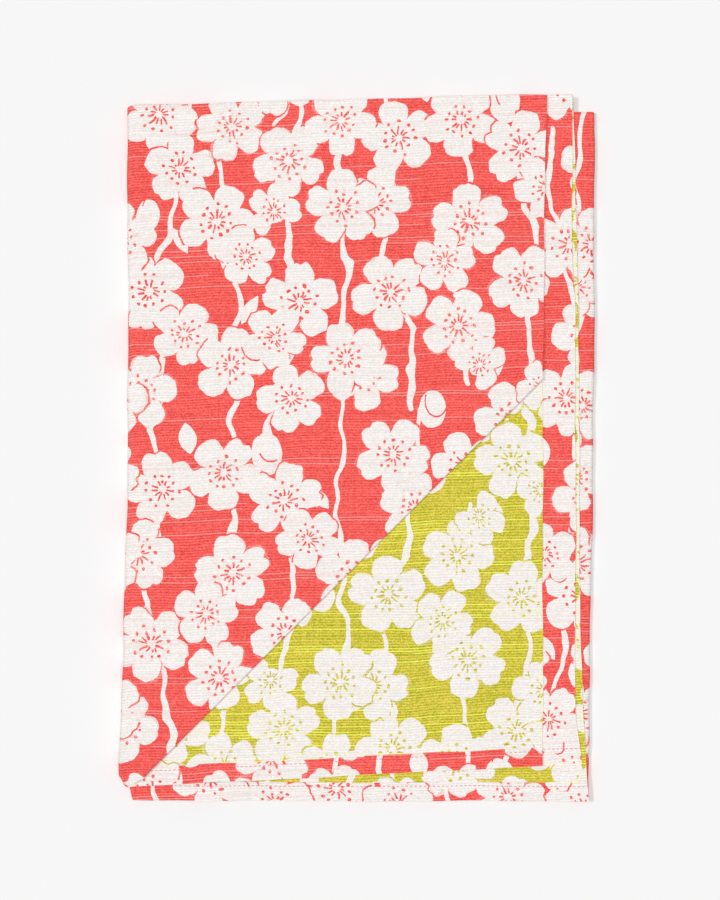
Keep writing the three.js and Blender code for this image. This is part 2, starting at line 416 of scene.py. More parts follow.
def make_stations(sizes):
    """The stations along the cloth, and how far along the flat cloth each one lies."""
    stations, along = [], []
    edge = sizes.selvedge_width / MM
    travelled = 0.0
    for p, step in enumerate(PANEL_STEPS):
        left, right = (float(v) for v in panel_ends(p, 0, 0.0))
        width = right - left
        places = even_steps(0.0, width, step)
        if p in (0, len(PANELS) - 1):
            places = even_steps(0.0, width - edge - SELVEDGE_STEP, step)
            places = np.concatenate([places, [width - edge, width]])
        if PANELS[p]["side"] > 0:
            shares, run = places[::-1] / width, width - places[::-1]
        else:
            shares, run = places / width, places
        stations += [Station(p, share=s) for s in shares]
        along += list(travelled + run)
        travelled += width
        if p < len(FOLDS):
            steps = FOLD_STEPS[p]
            slots = [abs(PANELS[p]["slots"][i] - PANELS[p + 1]["slots"][i]) * PITCH / 2 for i in (0, 1)]
            arc = sum(math.pi * (s + r) / 2 for s, r in zip(slots, FOLDS[p]["reach"])) / 2
            for i in range(1, steps):
                stations.append(Station(p, turn=i / steps))
                along.append(travelled + arc * i / steps)
            travelled += arc
    return stations, np.array(along)


def row_distances(sizes):
    """Distances from the hem of the first rows, close together over the hem and its stitches."""
    hem = sizes.hem_width / MM
    seam = hem - sizes.seam_inset / MM
    stitches = [seam - 2.2, seam - 0.5, seam, seam + 0.5]
    return np.array([0, 1.2, 3.2, *stitches, hem - 0.25, hem + 0.1, hem + 3.5])


def profile(station, sizes, face):
    """A line of points from hem a over the top fold to hem b, on one face of the cloth."""
    half = sizes.thickness / MM / 2
    droop = sizes.edge_droop / MM
    first = row_distances(sizes)
    top = station.top()
    a, b = (station.point(i, np.array([top]), 1, half, droop)[0] for i in (0, 1))
    fold_at = top - np.linalg.norm(a - b) / 2
    lines = []
    for layer in (0, 1):
        hem = station.hem(layer)
        rest = np.linspace(hem + first[-1], fold_at, UPPER_ROWS + 1)[1:]
        y = np.concatenate([hem + first, rest])
        points = station.point(layer, y, face, half, droop)
        if face < 0:
            points = raise_hem(station, layer, points, sizes, len(first))
        lines.append(points)
    front, back = lines[0], lines[1][::-1]
    return np.concatenate([front, half_turn(front[-1], back[0], (0, 1, 0), CROWN_STEPS), back])


def raise_hem(station, layer, points, sizes, first_rows):
    """Lifts the inner face where the hem is folded over it, with a dip along the stitches."""
    if station.turn is None and not (station.p == 0 and layer == 0):
        inward = -PANELS[station.p]["side"] * (1, -1)[layer]
        lift = np.zeros(len(points))
        relief = sizes.hem_relief / MM
        lift[: first_rows - 2] = relief
        lift[0] = relief * LIP_SHARE
        lift[SEAM_ROW] = relief * SEAM_SHARE
        points[:, 2] += inward * lift
    return points


def tuck_profile(start, face, sizes):
    """The turned-under corner at a station, from the crease to its far edge."""
    half, droop = sizes.thickness / MM / 2, sizes.edge_droop / MM
    x = np.linspace(start[0], CREASE["x0"], TUCK_ROWS + 1)
    y = np.full_like(x, start[1])
    z = slot_height(TUCK_SLOT, x, y) - edge_fall(0, 0, TUCK_SLOT, x, y, droop) - face * half
    points = np.stack([x, y, z], -1)
    run = np.array([CREASE["x1"] - CREASE["x0"], CREASE["y1"] - CREASE["y0"]])
    outward = np.array([run[1], -run[0], 0]) / np.linalg.norm(run)
    return np.concatenate([half_turn(start, points[0], outward, CREASE_STEPS), points])


class ClothMesh:
    """The cloth's points on both faces, its flat places and its faces, gathered in turn."""

    def __init__(self, stations):
        self.stations = stations
        self.lines = []  # the points of each station, from hem a to hem b
        self.outer, self.inner, self.flat = [], [], []
        self.quads, self.hem_quads = [], []

    def add(self, outer, inner, flat):
        start = len(self.outer)
        self.outer += list(outer)
        self.inner += list(inner)
        self.flat += list(flat)
        return list(range(start, len(self.outer)))

    def join(self, one, following, hems):
        for j in range(1, len(one)):
            self.quads.append((one[j - 1], one[j], following[j], following[j - 1]))
            self.hem_quads.append(hems[j - 1])


def run_lengths(points):
    """How far along a line of points each one lies."""
    steps = np.linalg.norm(np.diff(points, axis=0), axis=1)
    return np.concatenate([[0.0], np.cumsum(steps)])


def gather_cloth(sizes):
    """Lays the whole cloth on its folds."""
    stations, along = make_stations(sizes)
    mesh = ClothMesh(stations)
    first = len(row_distances(sizes))
    rows = first + UPPER_ROWS
    lines, tucks = mesh.lines, []
    for station, u in zip(stations, along):
        outer = profile(station, sizes, 1)
        inner = profile(station, sizes, -1)
        run = run_lengths((outer + inner) / 2)
        crown = (run[rows - 1] + run[rows]) / 2 + (run[rows + CROWN_STEPS - 1] - run[rows]) / 2
        flat = np.stack([np.full(len(run), u), crown - run], -1)
        lines.append(mesh.add(outer, inner, flat))
        tuck = None
        if station.p == 0 and station.turn is None and outer[0][0] > CREASE["x0"] + TUCK_START:
            turned = [tuck_profile(side[0], face, sizes) for side, face in ((outer, 1), (inner, -1))]
            middle = np.concatenate([[(outer[0] + inner[0]) / 2], (turned[0] + turned[1]) / 2])
            beyond = flat[0][1] + run_lengths(middle)[1:]
            ids = mesh.add(*turned, np.stack([np.full(len(beyond), u), beyond], -1))
            tuck = [*ids[::-1], lines[-1][0]]
        tucks.append(tuck)
    last = len(lines[0])
    for i in range(1, len(stations)):
        own_hem = tucks[i - 1] is None and tucks[i] is None
        hems = [HEM_A if own_hem and j < first - 1 else 0 for j in range(1, last)]
        hems[last - first + 1 :] = [HEM_B] * (first - 2)
        mesh.join(lines[i - 1], lines[i], hems)
        if tucks[i - 1] and tucks[i]:
            mesh.join(tucks[i - 1], tucks[i], [0] * len(tucks[i]))
    return mesh


def flat_size(cloth):
    """Width and length in metres that the cloth had before it was folded."""
    return tuple(float(side) * MM for side in np.ptp(cloth.flat, axis=0))


def rim_quads(quads, count):
    """Faces that close the sheet's open edges, between the outer and the inner points."""
    edges = {}
    for n, quad in enumerate(quads):
        for a, b in zip(quad, quad[1:] + quad[:1]):
            if (b, a) in edges:
                del edges[(b, a)]
            else:
                edges[(a, b)] = n
    return [((b, a, a + count, b + count), n) for (a, b), n in edges.items()]


def wrap(distance, period):
    """A distance to the nearest repeat, between minus and plus half a period."""
    return (distance + period / 2) % period - period / 2


def nearest_places(centres, marks):
    """From each face's middle to each mark of the repeat and its half-drop twin."""
    marks = np.asarray(marks, float)
    both = np.concatenate([marks, marks + (REPEAT_WIDE, REPEAT_TALL / 2)])
    dx = wrap(centres[:, None, 0] - both[None, :, 0], 2 * REPEAT_WIDE)
    dy = wrap(centres[:, None, 1] - both[None, :, 1], REPEAT_TALL)
    return dx, dy


def twice(rows):
    """The columns of a chart, each given once for the repeat and again for its twin."""
    return np.tile(np.array(rows, float).T, 2)


def pick(reached, rank, count):
    """For each face, the lowest-ranked marks among those that reach it, or -1."""
    rank = np.where(reached, rank, np.inf)
    chosen = np.argsort(rank, axis=1, kind="stable")[:, :count]
    found = np.take_along_axis(rank, chosen, 1) < np.inf
    return np.where(found, chosen, -1)


def front_rank(rows):
    """Rank of each motif from front to back, as later rows lie on earlier ones."""
    return -np.tile(np.arange(len(rows)), 2).astype(float)


# Share of the ribs that carry a slub, a thick thread, on each face
CORAL_SLUBS = 0.12
LIME_SLUBS = 0.2

BARE_EDGE = 0.3  # share of a selvedge, from its outer side, that takes no dye

FAR = 9.0  # a place outside every motif, in motif sizes

# How far from its middle a motif's print can reach, in motif sizes
BLOSSOM_REACH, OVAL_REACH, TWIG_REACH = 1.05, 1.15, 3


def local_places(chosen, offsets, corners, turns, scales, third):
    """Corner places in the frame of each face's chosen motif, with the motif's third value."""
    out = np.full((len(chosen), 4, 3), FAR)
    out[:, :, 2] = 0
    hit = np.flatnonzero(chosen >= 0)
    c = chosen[hit]
    dx = offsets[0][hit, c][:, None] + corners[hit, :, 0]
    dy = offsets[1][hit, c][:, None] + corners[hit, :, 1]
    cos, sin = np.cos(turns[c])[:, None], np.sin(turns[c])[:, None]
    out[hit, :, 0] = (dx * cos + dy * sin) / scales[c, 0][:, None]
    out[hit, :, 1] = (-dx * sin + dy * cos) / scales[c, 1][:, None]
    out[hit, :, 2] = third[c][:, None]
    return out


def chart_blossoms(centres, corners, reach):
    """The three front blossoms that reach each face, as corner places in their frames."""
    x, y, radius, turn, squash, kind = twice(BLOSSOMS)
    count = len(BLOSSOMS)
    offsets = nearest_places(centres, np.stack([x, y], -1)[:count])
    reached = np.hypot(*offsets) < radius * BLOSSOM_REACH + reach[:, None]
    chosen = pick(reached, front_rank(BLOSSOMS), 3).T
    seed = np.tile(np.arange(count), 2) + 0.5 * np.repeat((0, 1), count)
    code = kind + 0.01 + 0.9 * seed / count
    scales = np.stack([radius, radius * squash], -1)
    return [local_places(c, offsets, corners, np.radians(turn), scales, code) for c in chosen]


def chart_ovals(centres, corners, reach):
    """The two front buds or leaves that reach each face."""
    x, y, long, wide, turn, pointed = twice(OVALS)
    offsets = nearest_places(centres, np.stack([x, y], -1)[: len(OVALS)])
    reached = np.hypot(*offsets) < long * OVAL_REACH + reach[:, None]
    chosen = pick(reached, front_rank(OVALS), 2).T
    scales = np.stack([long, wide], -1)
    return [local_places(c, offsets, corners, np.radians(turn), scales, pointed) for c in chosen]


def chart_twigs(centres, corners, reach):
    """The two nearest stretches of twig that reach each face."""
    rows = []
    for width, line in TWIGS:
        for (x0, y0), (x1, y1) in zip(line, line[1:]):
            turn, half = math.atan2(y1 - y0, x1 - x0), math.hypot(x1 - x0, y1 - y0) / 2
            rows.append(((x0 + x1) / 2, (y0 + y1) / 2, turn, half, width))
    x, y, turns, halves, widths = twice(rows)
    dx, dy = nearest_places(centres, np.stack([x, y], -1)[: len(rows)])
    across = np.abs(-dx * np.sin(turns) + dy * np.cos(turns))
    past = np.maximum(np.abs(dx * np.cos(turns) + dy * np.sin(turns)) - halves, 0)
    away = np.hypot(across, past)
    chosen = pick(away < widths * TWIG_REACH + reach[:, None], away, 2).T
    scales = np.stack([widths, widths], -1)
    return [local_places(c, (dx, dy), corners, turns, scales, halves / widths) for c in chosen]


def in_scene(name, data):
    """A new object with its data, linked to the scene."""
    obj = bpy.data.objects.new(name, data)
    bpy.context.scene.collection.objects.link(obj)
    return obj


def mesh_object(name, vertices, faces):
    """A mesh object at the origin, with its points given in millimetres."""
    mesh = bpy.data.meshes.new(name)
    mesh.from_pydata((np.asarray(vertices) * MM).tolist(), [], faces)
    mesh.update()
    return in_scene(name, mesh)


def build_cloth(cloth):
    """The cloth as one mesh, with its print charted on every face."""
    count = len(cloth.outer)
    flat = np.array(cloth.flat)
    faces, face_flat, coral = [], [], []
    hems = {
        HEM_A: max(flat[line[0]][1] for line in cloth.lines),
        HEM_B: min(flat[line[-1]][1] for line in cloth.lines),
    }
    for quad, hem in zip(cloth.quads, cloth.hem_quads):
        faces.append(quad)
        face_flat.append(flat[list(quad)])
        coral.append(True)
        back = quad[::-1]
        place = flat[list(back)].copy()
        if hem:
            place[:, 1] = 2 * hems[hem] - place[:, 1]
        faces.append(tuple(v + count for v in back))
        face_flat.append(place)
        coral.append(bool(hem))
    for quad, source in rim_quads(cloth.quads, count):
        faces.append(quad)
        face_flat.append(flat[[v % count for v in quad]])
        coral.append(True)
    obj = mesh_object("printed_cloth", cloth.outer + cloth.inner, faces)
    corners_flat = np.array(face_flat)
    left, right = panel_ends(0, 0, 0.0)
    chart = corners_flat.copy()
    chart[:, :, 0] = float(right - left) - chart[:, :, 0]
    centres = chart.mean(axis=1)
    corners = chart - centres[:, None, :]
    reach = np.linalg.norm(corners, axis=2).max(axis=1)
    for name, chart_motifs in (("blossom", chart_blossoms), ("oval", chart_ovals), ("twig", chart_twigs)):
        for k, values in enumerate(chart_motifs(centres, corners, reach), 1):
            attribute = obj.data.attributes.new(f"{name}_{k}", "FLOAT_VECTOR", "CORNER")
            attribute.data.foreach_set("vector", values.astype(np.float32).ravel())
    uv = obj.data.uv_layers.new(name="flat_cloth")
    uv.data.foreach_set("uv", (corners_flat * MM).astype(np.float32).ravel())
    obj.data.polygons.foreach_set("material_index", [0 if c else 1 for c in coral])
    obj.data.polygons.foreach_set("use_smooth", [True] * len(faces))
    obj.data.set_sharp_from_angle(angle=math.radians(35))
    return obj


# Kinds of node that the materials use most
MATH, VECTOR_MATH, MIX = "ShaderNodeMath", "ShaderNodeVectorMath", "ShaderNodeMix"
SEPARATE, COMBINE = "ShaderNodeSeparateXYZ", "ShaderNodeCombineXYZ"
NOISE, WHITE_NOISE = "ShaderNodeTexNoise", "ShaderNodeTexWhiteNoise"


def add(tree, kind, *inputs, **settings):
    """Adds a node with its settings, sets or links its inputs in order, and returns its first output."""
    node = tree.nodes.new(kind)
    for name, value in settings.items():
        setattr(node, name, value)
    for socket, value in zip([s for s in node.inputs if s.enabled], inputs):
        if isinstance(value, bpy.types.NodeSocket):
            tree.links.new(value, socket)
        elif value is not None:
            socket.default_value = value
    used = [s for s in node.outputs if s.enabled]
    return used[0] if used else node


def new_group(name, inputs, outputs):
    """A shader group with named inputs and outputs, each a (name, kind of socket)."""
    tree = bpy.data.node_groups.new(name, "ShaderNodeTree")
    for label, kind in inputs:
        tree.interface.new_socket(label, in_out="INPUT", socket_type=kind)
    for label, kind in outputs:
        tree.interface.new_socket(label, in_out="OUTPUT", socket_type=kind)
    return tree, tree.nodes.new("NodeGroupInput"), tree.nodes.new("NodeGroupOutput")


def in_sectors(tree, count, angle, radius, code, seed, dimensions, sway):
    """A blossom cut into like sectors: a place's sector, its place along and across it, two chances."""
    sector = math.tau / count
    turned = add(tree, MATH, angle, 1 / sector, 0.5, operation="MULTIPLY_ADD")
    number = add(tree, MATH, turned, operation="FLOOR")
    off = add(tree, MATH, number, -sector, angle, operation="MULTIPLY_ADD")
    key = add(tree, COMBINE, number, code, seed)
    chance = add(tree, WHITE_NOISE, key, noise_dimensions=dimensions).node.outputs["Color"]
    chance = add(tree, SEPARATE, chance).node.outputs
    lean = add(tree, MATH, chance["Y"], sway, -sway / 2, operation="MULTIPLY_ADD")
    off = add(tree, MATH, off, lean, operation="ADD")
    along, across = (
        add(tree, MATH, radius, add(tree, MATH, off, operation=part), operation="MULTIPLY")
        for part in ("COSINE", "SINE")
    )
    return number, along, across, chance["X"], chance["Z"]


def blossom_group():
    """One five-petalled blossom with stamens, from a place in its own frame."""
    tree, given, result = new_group(
        "blossom",
        [("Place", "NodeSocketVector"), ("Wobble", "NodeSocketVector")],
        [("Inside", "NodeSocketFloat"), ("Marks", "NodeSocketFloat"), ("Rim", "NodeSocketFloat")],
    )
    raw = add(tree, SEPARATE, given.outputs["Place"]).node
    code = raw.outputs["Z"]
    shaken = add(tree, VECTOR_MATH, given.outputs["Place"], given.outputs["Wobble"], operation="ADD")
    flat = add(tree, VECTOR_MATH, shaken, (1, 1, 0), operation="MULTIPLY")
    radius = add(tree, VECTOR_MATH, flat, operation="LENGTH").node.outputs["Value"]
    place = add(tree, SEPARATE, flat).node
    angle = add(tree, MATH, place.outputs["Y"], place.outputs["X"], operation="ARCTAN2")
    side = add(tree, MATH, code, operation="FLOOR")

    # Petals, each with its own width, length and lean
    petal, out, sideways, size, tip = in_sectors(tree, 5, angle, radius, code, 0.0, "2D", 0.14)
    sideways = add(tree, MATH, sideways, operation="ABSOLUTE")
    reach = add(tree, MATH, size, 0.05, 0.37, operation="MULTIPLY_ADD")
    wide = add(tree, MATH, size, 0.05, 0.345, operation="MULTIPLY_ADD")
    broad = add(tree, MATH, out, 0.24, 0.86, operation="MULTIPLY_ADD")
    wide = add(tree, MATH, wide, broad, operation="MULTIPLY")
    notched = add(tree, MATH, tip, 0.5, operation="GREATER_THAN")
    notched = add(tree, MATH, notched, 0.43, 0.12, operation="MULTIPLY_ADD")
    gap = add(tree, MATH, 0.12, sideways, operation="SUBTRACT")
    gap = add(tree, MATH, gap, 0.0, operation="MAXIMUM")
    length = add(tree, MATH, gap, notched, out, operation="MULTIPLY_ADD")
    length = add(tree, MATH, length, 0.58, operation="SUBTRACT")
    length = add(tree, MATH, length, operation="ABSOLUTE")
    length = add(tree, MATH, length, reach, operation="DIVIDE")
    length = add(tree, MATH, length, 2.4, operation="POWER")
    width = add(tree, MATH, sideways, wide, operation="DIVIDE")
    width = add(tree, MATH, width, 2.4, operation="POWER")
    bound = add(tree, MATH, length, width, operation="ADD")
    lost = add(tree, MATH, petal, 0.0, 0.5, operation="COMPARE")
    lost = add(tree, MATH, lost, side, operation="MULTIPLY")
    bound = add(tree, MATH, lost, 9.0, bound, operation="MULTIPLY_ADD")
    in_petal = add(tree, MATH, bound, 1.0, operation="LESS_THAN")
    in_heart = add(tree, MATH, radius, 0.36, operation="LESS_THAN")
    inside = add(tree, MATH, in_petal, in_heart, operation="MAXIMUM")
    near = add(tree, MATH, bound, 1.3, operation="LESS_THAN")
    rim = add(tree, MATH, near, inside, operation="GREATER_THAN")

    # Stamens, a line and then a dot in each of eleven sectors
    _, out, sideways, long, start = in_sectors(tree, 11, angle, radius, code, 7.0, "3D", 0.22)
    start = add(tree, MATH, start, 0.06, 0.08, operation="MULTIPLY_ADD")
    end = add(tree, MATH, long, 0.15, 0.19, operation="MULTIPLY_ADD")
    started = add(tree, MATH, out, start, operation="GREATER_THAN")
    ended = add(tree, MATH, out, end, operation="LESS_THAN")
    thin = add(tree, MATH, sideways, 0.0, 0.025, operation="COMPARE")
    line = add(tree, MATH, started, ended, operation="MULTIPLY")
    line = add(tree, MATH, line, thin, operation="MULTIPLY")
    dot_at = add(tree, MATH, long, 0.15, 0.33, operation="MULTIPLY_ADD")
    dot_out = add(tree, MATH, out, dot_at, operation="SUBTRACT")
    dot = add(tree, COMBINE, dot_out, sideways, 0.0)
    dot = add(tree, VECTOR_MATH, dot, operation="LENGTH").node.outputs["Value"]
    dot = add(tree, MATH, dot, 0.044, operation="LESS_THAN")
    marks = add(tree, MATH, line, dot, operation="MAXIMUM")
    for label, value in (("Inside", inside), ("Marks", marks), ("Rim", rim)):
        tree.links.new(value, result.inputs[label])
    return tree


def shake(tree, flat, scale, roughness, amount):
    """A smooth random shift across the flat cloth."""
    noise = add(tree, NOISE, flat, scale, 1.0, roughness, noise_dimensions="2D").node.outputs["Color"]
    centred = add(tree, VECTOR_MATH, noise, (0.5, 0.5, 0.5), operation="SUBTRACT")
    return add(tree, VECTOR_MATH, centred, (amount, amount, 0.0), operation="MULTIPLY")


def charted(tree, name, count):
    """The places that the chart gives each face for one sort of motif."""
    return [
        add(tree, "ShaderNodeAttribute", attribute_name=f"{name}_{k}").node.outputs["Vector"]
        for k in range(1, count + 1)
    ]


def print_group():
    """Where the cloth is left white and where the ground colour is printed."""
    tree, _, result = new_group("blossom_print", [], [("White", "NodeSocketFloat")])
    flat = add(tree, "ShaderNodeUVMap", uv_map="flat_cloth")
    wobble = shake(tree, flat, 170.0, 0.35, 0.11)
    broken = add(tree, NOISE, flat, 70.0, 0.0, noise_dimensions="2D")
    broken = add(tree, MATH, broken, 0.5, operation="GREATER_THAN")
    petals = blossom_group()
    blossoms = []
    for place in charted(tree, "blossom", 3):
        blossoms.append(add(tree, "ShaderNodeGroup", node_tree=petals).node)
        tree.links.new(place, blossoms[-1].inputs["Place"])
        tree.links.new(wobble, blossoms[-1].inputs["Wobble"])

    # Buds and leaves
    ovals, bud_lines = [], []
    for place in charted(tree, "oval", 2):
        pointed = add(tree, SEPARATE, place).node.outputs["Z"]
        shaken = add(tree, VECTOR_MATH, place, wobble, operation="ADD")
        part = add(tree, SEPARATE, shaken).node
        along = add(tree, MATH, part.outputs["X"], part.outputs["X"], operation="MULTIPLY")
        across = add(tree, MATH, part.outputs["Y"], operation="ABSOLUTE")
        power = add(tree, MATH, 2.0, pointed, operation="SUBTRACT")
        across = add(tree, MATH, across, power, operation="POWER")
        bound = add(tree, MATH, along, across, operation="ADD")
        inside = add(tree, MATH, bound, 1.0, operation="LESS_THAN")
        ovals.append(inside)
        shifted = add(tree, VECTOR_MATH, shaken, (0.42, 0.30, 0.0), operation="ADD")
        shifted = add(tree, VECTOR_MATH, shifted, (1.0, 1.0, 0.0), operation="MULTIPLY")
        petal_line = add(tree, VECTOR_MATH, shifted, operation="LENGTH").node.outputs["Value"]
        petal_line = add(tree, MATH, petal_line, 0.82, 0.05, operation="COMPARE")
        full = add(tree, MATH, pointed, 0.5, operation="LESS_THAN")
        petal_line = add(tree, MATH, petal_line, full, operation="MULTIPLY")
        petal_line = add(tree, MATH, petal_line, inside, operation="MULTIPLY")
        bud_lines.append(add(tree, MATH, petal_line, broken, operation="MULTIPLY"))

    # Twigs
    twigs = []
    bend = shake(tree, flat, 38.0, 0.5, 9.0)
    for place in charted(tree, "twig", 2):
        loose = add(tree, VECTOR_MATH, wobble, (7.0, 7.0, 0.0), bend, operation="MULTIPLY_ADD")
        shaken = add(tree, VECTOR_MATH, place, loose, operation="ADD")
        part = add(tree, SEPARATE, shaken).node
        along = add(tree, MATH, part.outputs["X"], operation="ABSOLUTE")
        past = add(tree, MATH, along, part.outputs["Z"], operation="SUBTRACT")
        past = add(tree, MATH, past, 0.0, operation="MAXIMUM")
        away = add(tree, COMBINE, past, part.outputs["Y"], 0.0)
        away = add(tree, VECTOR_MATH, away, operation="LENGTH").node.outputs["Value"]
        twigs.append(add(tree, MATH, away, 1.0, operation="LESS_THAN"))

    # From the back to the front, each motif over the ones behind it
    behind = add(tree, MATH, twigs[0], twigs[1], operation="MAXIMUM")
    for oval in ovals:
        behind = add(tree, MATH, behind, oval, operation="MAXIMUM")
    marks = add(tree, MATH, bud_lines[0], bud_lines[1], operation="MAXIMUM")
    for node in reversed(blossoms):
        arc = add(tree, MATH, node.outputs["Rim"], broken, operation="MULTIPLY")
        arc = add(tree, MATH, arc, behind, operation="MULTIPLY")
        marks = add(tree, MATH, arc, marks, operation="MAXIMUM")
        inside = node.outputs["Inside"]
        marks = add(tree, MIX, inside, marks, node.outputs["Marks"], data_type="FLOAT")
        behind = add(tree, MATH, behind, inside, operation="MAXIMUM")
    clear = add(tree, MATH, 1.0, marks, operation="SUBTRACT")
    white = add(tree, MATH, behind, clear, operation="MULTIPLY")
    tree.links.new(white, result.inputs["White"])
    return tree


def stretches(tree, row, shift, across, length, seed, dimensions):
    """A chance for each stretch of a thread, its ends shifted along by a value of its row."""
    place = add(tree, MATH, across, 1 / length, shift, operation="MULTIPLY_ADD")
    place = add(tree, MATH, place, operation="FLOOR")
    key = add(tree, COMBINE, row, place, seed)
    return add(tree, WHITE_NOISE, key, noise_dimensions=dimensions).node.outputs["Value"]


def weave_group():
    """The weave of slubbed cotton: uneven weft threads, ribs, and thick slubs here and there."""
    tree, given, result = new_group(
        "slub_weave",
        [("Slubs", "NodeSocketFloat")],
        [("Thread", "NodeSocketFloat"), ("Slub", "NodeSocketFloat")],
    )
    flat = add(tree, "ShaderNodeUVMap", uv_map="flat_cloth")
    place = add(tree, VECTOR_MATH, flat, (1000.0, 1000.0, 0.0), operation="MULTIPLY")
    bend = add(tree, NOISE, place, 0.02, 1.0, 0.5, noise_dimensions="2D")
    part = add(tree, SEPARATE, place).node
    across, along = part.outputs["X"], part.outputs["Y"]
    along = add(tree, MATH, bend, 3.0, along, operation="MULTIPLY_ADD")

    # Weft threads of 0.5 mm, each with its own shade for a stretch of 28 mm
    thread = add(tree, MATH, along, 1 / 0.5, operation="MULTIPLY")
    row = add(tree, MATH, thread, operation="FLOOR")
    shift = add(tree, WHITE_NOISE, row, noise_dimensions="1D").node.outputs["Value"]
    weft = stretches(tree, row, shift, across, 28, 0.0, "2D")

    # Crossings with the warp, 0.65 mm long, that take the dye unevenly
    speck = stretches(tree, row, shift, across, 0.65, 5.0, "3D")

    # Warp threads of 0.65 mm, each with its own shade from hem to hem
    column = add(tree, MATH, across, 1 / 0.65, operation="MULTIPLY")
    column = add(tree, MATH, column, operation="FLOOR")
    warp = add(tree, WHITE_NOISE, column, noise_dimensions="1D").node.outputs["Value"]

    # Ribs 1.5 mm apart
    rib = add(tree, MATH, along, math.tau / 1.5, operation="MULTIPLY")
    rib = add(tree, MATH, rib, operation="SINE")
    shade = add(tree, MATH, rib, 0.26, 0.5 - 0.61, operation="MULTIPLY_ADD")
    shade = add(tree, MATH, weft, 0.32, shade, operation="MULTIPLY_ADD")
    shade = add(tree, MATH, warp, 0.1, shade, operation="MULTIPLY_ADD")
    shade = add(tree, MATH, speck, 0.8, shade, operation="MULTIPLY_ADD")

    # Slubs, thick threads at some of the ribs, that run on for 150 mm
    ribs = add(tree, MATH, row, 1 / 3, operation="MULTIPLY")
    number = add(tree, MATH, ribs, operation="FLOOR")
    first = add(tree, MATH, ribs, number, operation="SUBTRACT")
    first = add(tree, MATH, first, 0.2, operation="LESS_THAN")
    shift = add(tree, WHITE_NOISE, number, noise_dimensions="1D").node.outputs["Value"]
    chance = stretches(tree, number, shift, across, 150, 9.0, "3D")
    thick = add(tree, MATH, chance, given.outputs["Slubs"], operation="LESS_THAN")
    thick = add(tree, MATH, thick, first, operation="MULTIPLY")
    slub = add(tree, MATH, speck, 0.3, 0.65, operation="MULTIPLY_ADD")
    slub = add(tree, MATH, thick, slub, operation="MULTIPLY")
    for label, value in (("Thread", shade), ("Slub", slub)):
        tree.links.new(value, result.inputs[label])
    return tree


def printed_cotton(name, printing, weave, shades, slub_share, edges=()):
    """Cotton printed in one ground colour, with the motifs left bare."""
    # Slubbed plain-weave cotton, reactive printed: matt and ribbed, its thick threads paler
    material = bpy.data.materials.new(name)
    material.use_nodes = True
    tree = material.node_tree
    shader = tree.nodes["Principled BSDF"]
    print_node = add(tree, "ShaderNodeGroup", node_tree=printing).node
    woven = add(tree, "ShaderNodeGroup", node_tree=weave).node
    woven.inputs["Slubs"].default_value = slub_share
    thread, slub = woven.outputs["Thread"], woven.outputs["Slub"]
    dark, light, pale, bare_dark, bare_light = ((*shade, 1) for shade in shades)
    dyed = add(tree, MIX, thread, dark, light, data_type="RGBA")
    dyed = add(tree, MIX, slub, dyed, pale, data_type="RGBA")
    bare = add(tree, MIX, thread, bare_dark, bare_light, data_type="RGBA")
    stain = add(tree, MATH, slub, 0.3, operation="MULTIPLY")
    bare = add(tree, MIX, stain, bare, pale, data_type="RGBA")
    for low, high in edges:
        flat = add(tree, "ShaderNodeUVMap", uv_map="flat_cloth")
        along = add(tree, SEPARATE, flat).node.outputs["X"]
        band = add(tree, MATH, along, (low + high) / 2, (high - low) / 2, operation="COMPARE")
        band = add(tree, MATH, band, thread, operation="MULTIPLY")
        band = add(tree, MATH, band, 0.45, operation="MULTIPLY")
        bare = add(tree, MIX, band, bare, pale, data_type="RGBA")
    colour = add(tree, MIX, print_node.outputs["White"], dyed, bare, data_type="RGBA")
    tree.links.new(colour, shader.inputs["Base Color"])
    height = add(tree, MATH, slub, 0.8, thread, operation="MULTIPLY_ADD")
    bump = add(tree, "ShaderNodeBump")
    bump.node.inputs["Strength"].default_value = 0.35
    bump.node.inputs["Distance"].default_value = 0.12 * MM
    tree.links.new(height, bump.node.inputs["Height"])
    tree.links.new(bump, shader.inputs["Normal"])
    shader.inputs["Roughness"].default_value = 0.92
    shader.inputs["Specular IOR Level"].default_value = 0.25
    return material


def thread_material(colour):
    """Sewing thread of the hems."""
    # Spun polyester thread, pink, a little glossier than the cotton it lies in
    material = bpy.data.materials.new("sewing_thread")
    material.use_nodes = True
    tree = material.node_tree
    shader = tree.nodes["Principled BSDF"]
    shader.inputs["Base Color"].default_value = (*colour, 1)
    shader.inputs["Roughness"].default_value = 0.7
    return material


